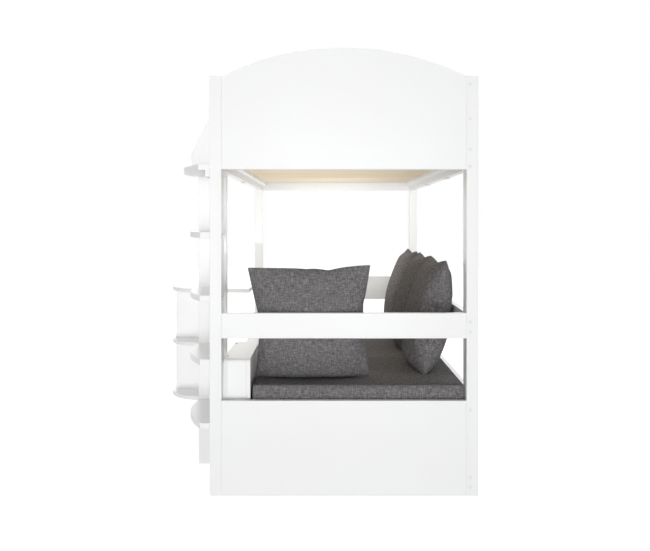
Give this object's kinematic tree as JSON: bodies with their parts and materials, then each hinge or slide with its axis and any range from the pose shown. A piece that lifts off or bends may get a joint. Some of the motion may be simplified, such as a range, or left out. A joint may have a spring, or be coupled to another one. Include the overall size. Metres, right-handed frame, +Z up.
{
  "type": "high sleeper bed",
  "caption": "White high sleeper with a slatted bunk over a grey cushioned sofa seat, a side ladder, a lidded box and a round-ended shelf unit.",
  "frame": {"origin": "middle of the bounding box on the floor plane", "axes": "+X to the right (the wall side of the bed), +Y along the bed from its ladder end to the shelf end, +Z up"},
  "size_m": [1.475, 2.07, 1.6669],
  "materials": {
    "white_lacquer": "white satin lacquer on MDF boards, fine orange peel, eased edges",
    "pine": "planed natural pine with fine straight grain, unvarnished",
    "beech": "fluted beech dowel",
    "mattress_fabric": "dark grey melange linen-look weave over foam, piped edges",
    "cushion_fabric": "dark grey melange linen-look weave, knife edges",
    "zinc_steel": "bright zinc-plated steel",
    "cap_plastic": "moulded light grey plastic cap",
    "clip_plastic": "moulded white plastic clip"
  },
  "bodies": {
    "bed_frame": {"barrel_nuts": "zinc_steel", "board_screws": "zinc_steel", "bolt_caps": "cap_plastic", "box_bottom": "white_lacquer", "box_far_panel": "white_lacquer", "box_left_side": "white_lacquer", "box_near_panel": "white_lacquer", "box_right_side": "white_lacquer", "dowels": "beech", "far_inner_rail": "white_lacquer", "far_left_post": "white_lacquer", "far_lower_panel": "white_lacquer", "far_mid_rail": "white_lacquer", "far_right_post": "white_lacquer", "far_upper_panel": "white_lacquer", "front_ledge": "white_lacquer", "guard_left": "white_lacquer", "guard_right": "white_lacquer", "hinge_pins": "zinc_steel", "ladder_brackets": "zinc_steel", "ladder_panel": "white_lacquer", "ladder_wing": "white_lacquer", "ledge_bearers": "white_lacquer", "lid_knuckles": "zinc_steel", "near_left_post": "white_lacquer", "near_lower_panel": "white_lacquer", "near_mid_rail": "white_lacquer", "near_right_post": "white_lacquer", "near_upper_panel": "white_lacquer", "platform": "white_lacquer", "platform_bearer": "white_lacquer", "rail_bolts": "zinc_steel", "rail_clips": "clip_plastic", "rear_floor_rail": "white_lacquer", "rear_mid_rail": "white_lacquer", "seat_cleats": "white_lacquer", "seat_rail_left": "white_lacquer", "seat_rail_right": "white_lacquer", "seat_slats": "pine", "shelf_bottom": "white_lacquer", "shelf_dividers": "white_lacquer", "shelf_middle": "white_lacquer", "shelf_top": "white_lacquer", "shelf_upright": "white_lacquer", "side_bolts": "zinc_steel", "step_1": "white_lacquer", "step_2": "white_lacquer", "step_3": "white_lacquer", "step_4": "white_lacquer", "upper_cleats": "white_lacquer", "upper_rail_left": "white_lacquer", "upper_rail_right": "white_lacquer", "upper_slats": "pine"},
    "lid": {"box_lid": "white_lacquer"},
    "mattress": {"seat_mattress": "mattress_fabric"},
    "back_cushion_1_body": {"back_cushion_1": "cushion_fabric"},
    "back_cushion_2_body": {"back_cushion_2": "cushion_fabric"},
    "back_cushion_3_body": {"back_cushion_3": "cushion_fabric"},
    "end_cushion_body": {"end_cushion": "cushion_fabric"}
  },
  "joints": [
    {"name": "lid_hinge", "type": "hinge", "parent": "bed_frame", "child": "lid", "pos_m": [-0.2122, -0.7765, 0.499], "axis": [0, -1, 0], "range_deg": [0, 90]},
    {"name": "mattress_lift", "type": "slide", "parent": "bed_frame", "child": "mattress", "axis": [0, 0, 1], "range_m": [0, 0.12]},
    {"name": "back_cushion_1_lift", "type": "slide", "parent": "mattress", "child": "back_cushion_1_body", "axis": [0, 0, 1], "range_m": [0, 0.15]},
    {"name": "back_cushion_2_lift", "type": "slide", "parent": "mattress", "child": "back_cushion_2_body", "axis": [0, 0, 1], "range_m": [0, 0.15]},
    {"name": "back_cushion_3_lift", "type": "slide", "parent": "mattress", "child": "back_cushion_3_body", "axis": [0, 0, 1], "range_m": [0, 0.15]},
    {"name": "end_cushion_lift", "type": "slide", "parent": "mattress", "child": "end_cushion_body", "axis": [0, 0, 1], "range_m": [0, 0.15]}
  ]
}
